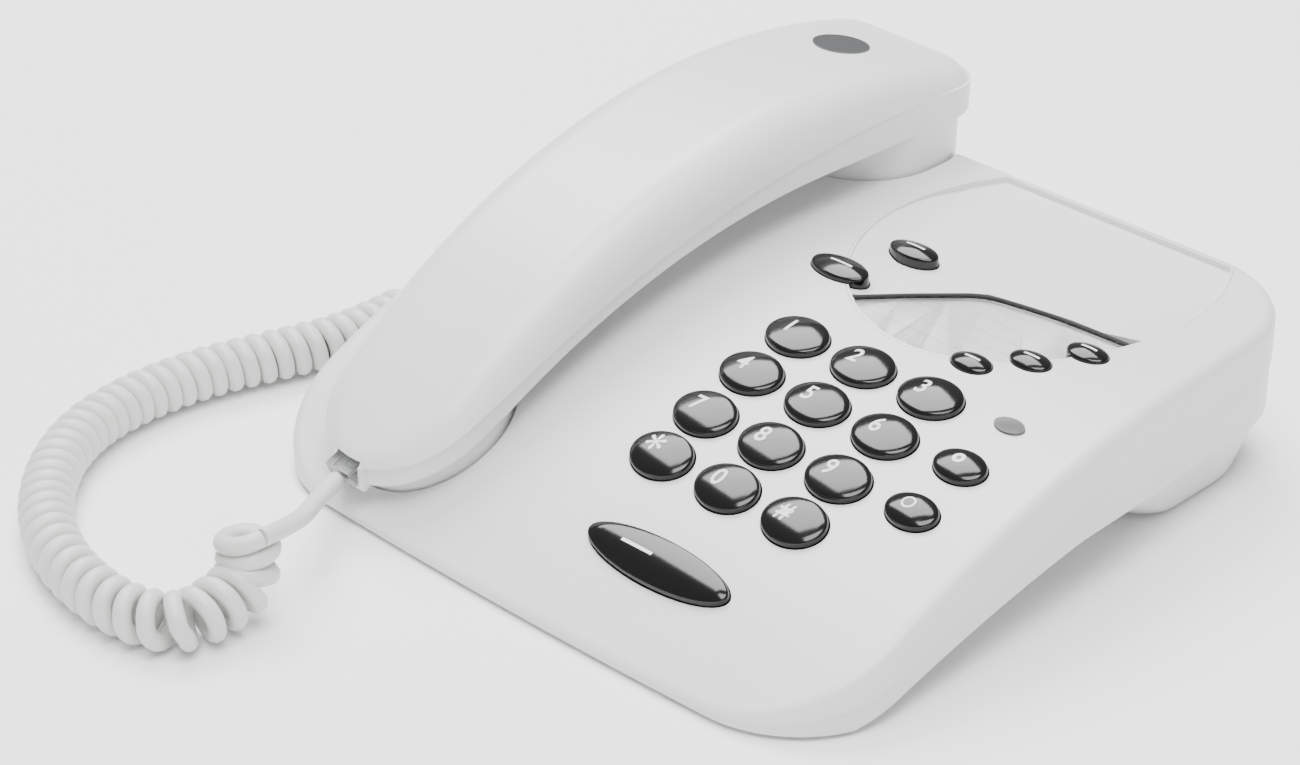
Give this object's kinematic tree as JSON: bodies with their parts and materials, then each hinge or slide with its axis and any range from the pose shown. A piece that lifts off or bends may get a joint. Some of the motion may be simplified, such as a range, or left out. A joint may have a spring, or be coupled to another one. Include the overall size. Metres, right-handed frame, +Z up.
{
  "type": "corded landline phone",
  "caption": "Wedge-shaped desk telephone base with a keypad and an index card dish, a handset in a cradle on the left, and a curly cord between them.",
  "frame": {"origin": "on the table under the middle of the base and handset", "axes": "+X to the user's right, +Y away from the user, +Z up"},
  "size_m": [0.2125, 0.2568, 0.0695],
  "materials": {
    "case": "satin gloss moulded",
    "panel": "satin moulded",
    "key": "high gloss",
    "card": "uncoated card",
    "window": "clear",
    "lens": "frosted",
    "board": "solder mask",
    "rubber": "matt",
    "steel": "plated",
    "dark_plastic": "moulded",
    "capsule": "pressed",
    "cord": "extruded, satin",
    "plug": "clear",
    "badge": "spun"
  },
  "bodies": {
    "base": {"ballast_plate": "steel", "base_plug": "plug", "board_screws": "steel", "bottom_housing": "case", "card_window": "window", "case_screws": "steel", "cord_base_tail": "cord", "cord_coil": "cord", "cord_handset_tail": "cord", "function_board": "board", "function_pads": "rubber", "handset_socket": "dark_plastic", "hook_spring": "steel", "hook_switch": "dark_plastic", "index_card": "card", "index_panel": "panel", "indicator_lens": "lens", "keypad_mat": "rubber", "line_socket": "dark_plastic", "main_board": "board", "ringer": "capsule", "ringer_switch_body": "dark_plastic", "rubber_feet": "rubber", "top_housing": "case"},
    "handset": {"handset_outer_shell": "case", "handset_inner_shell": "case", "handset_badge": "badge", "handset_screws": "steel", "receiver_capsule": "capsule", "microphone_capsule": "capsule", "handset_weight": "steel", "handset_plug": "plug"},
    "hook": {"hook_plunger": "dark_plastic"},
    "ringer_slider": {"ringer_slider": "dark_plastic"},
    "key_1": {"key_1": "key"},
    "key_2": {"key_2": "key"},
    "key_3": {"key_3": "key"},
    "key_4": {"key_4": "key"},
    "key_5": {"key_5": "key"},
    "key_6": {"key_6": "key"},
    "key_7": {"key_7": "key"},
    "key_8": {"key_8": "key"},
    "key_9": {"key_9": "key"},
    "key_star": {"key_star": "key"},
    "key_0": {"key_0": "key"},
    "key_hash": {"key_hash": "key"},
    "function_key": {"function_key": "key"},
    "recall_key": {"recall_key": "key"},
    "redial_key": {"redial_key": "key"},
    "store_key": {"store_key": "key"},
    "memory_key": {"memory_key": "key"},
    "quick_key_1": {"quick_key_1": "key"},
    "quick_key_2": {"quick_key_2": "key"},
    "quick_key_3": {"quick_key_3": "key"}
  },
  "joints": [
    {"name": "handset_lift", "type": "slide", "parent": "base", "child": "handset", "axis": [0, 0, 1], "range_m": [0, 0.04], "deforming": ["cord_handset_tail"]},
    {"name": "hook_rise", "type": "slide", "parent": "base", "child": "hook", "axis": [0, 0, 1], "range_m": [0, 0.003], "deforming": ["hook_spring"]},
    {"name": "ringer_slide", "type": "slide", "parent": "base", "child": "ringer_slider", "axis": [1, 0, 0], "range_m": [0, 0.004]},
    {"name": "key_1_press", "type": "slide", "parent": "base", "child": "key_1", "axis": [0, 0.1804, -0.9836], "range_m": [0, 0.0013], "stiffness_N_per_m": 450},
    {"name": "key_2_press", "type": "slide", "parent": "base", "child": "key_2", "axis": [0, 0.1804, -0.9836], "range_m": [0, 0.0013], "stiffness_N_per_m": 450},
    {"name": "key_3_press", "type": "slide", "parent": "base", "child": "key_3", "axis": [0, 0.1804, -0.9836], "range_m": [0, 0.0013], "stiffness_N_per_m": 450},
    {"name": "key_4_press", "type": "slide", "parent": "base", "child": "key_4", "axis": [0, 0.2404, -0.9707], "range_m": [0, 0.0013], "stiffness_N_per_m": 450},
    {"name": "key_5_press", "type": "slide", "parent": "base", "child": "key_5", "axis": [0, 0.2404, -0.9707], "range_m": [0, 0.0013], "stiffness_N_per_m": 450},
    {"name": "key_6_press", "type": "slide", "parent": "base", "child": "key_6", "axis": [0, 0.2404, -0.9707], "range_m": [0, 0.0013], "stiffness_N_per_m": 450},
    {"name": "key_7_press", "type": "slide", "parent": "base", "child": "key_7", "axis": [0, 0.2996, -0.9541], "range_m": [0, 0.0013], "stiffness_N_per_m": 450},
    {"name": "key_8_press", "type": "slide", "parent": "base", "child": "key_8", "axis": [0, 0.2996, -0.9541], "range_m": [0, 0.0013], "stiffness_N_per_m": 450},
    {"name": "key_9_press", "type": "slide", "parent": "base", "child": "key_9", "axis": [0, 0.2996, -0.9541], "range_m": [0, 0.0013], "stiffness_N_per_m": 450},
    {"name": "key_star_press", "type": "slide", "parent": "base", "child": "key_star", "axis": [0, 0.3544, -0.9351], "range_m": [0, 0.0013], "stiffness_N_per_m": 450},
    {"name": "key_0_press", "type": "slide", "parent": "base", "child": "key_0", "axis": [0, 0.3544, -0.9351], "range_m": [0, 0.0013], "stiffness_N_per_m": 450},
    {"name": "key_hash_press", "type": "slide", "parent": "base", "child": "key_hash", "axis": [0, 0.3544, -0.9351], "range_m": [0, 0.0013], "stiffness_N_per_m": 450},
    {"name": "function_key_press", "type": "slide", "parent": "base", "child": "function_key", "axis": [0, 0.2356, -0.9719], "range_m": [0, 0.0013], "stiffness_N_per_m": 450},
    {"name": "recall_key_press", "type": "slide", "parent": "base", "child": "recall_key", "axis": [0, 0.2972, -0.9548], "range_m": [0, 0.0013], "stiffness_N_per_m": 450},
    {"name": "redial_key_press", "type": "slide", "parent": "base", "child": "redial_key", "axis": [0, 0.4396, -0.8982], "range_m": [0, 0.0013], "stiffness_N_per_m": 450},
    {"name": "store_key_press", "type": "slide", "parent": "base", "child": "store_key", "axis": [0, 0.0756, -0.9971], "range_m": [0, 0.0013], "stiffness_N_per_m": 450},
    {"name": "memory_key_press", "type": "slide", "parent": "base", "child": "memory_key", "axis": [0, 0.002, -1], "range_m": [0, 0.0013], "stiffness_N_per_m": 450},
    {"name": "quick_key_1_press", "type": "slide", "parent": "base", "child": "quick_key_1", "axis": [0, 0.1188, -0.9929], "range_m": [0, 0.0013], "stiffness_N_per_m": 450},
    {"name": "quick_key_2_press", "type": "slide", "parent": "base", "child": "quick_key_2", "axis": [0, 0.0848, -0.9964], "range_m": [0, 0.0013], "stiffness_N_per_m": 450},
    {"name": "quick_key_3_press", "type": "slide", "parent": "base", "child": "quick_key_3", "axis": [0, 0.0428, -0.9991], "range_m": [0, 0.0013], "stiffness_N_per_m": 450}
  ],
  "couplings": [
    {"joint": "hook_rise", "follows": "handset_lift", "ratio": 0.075}
  ]
}
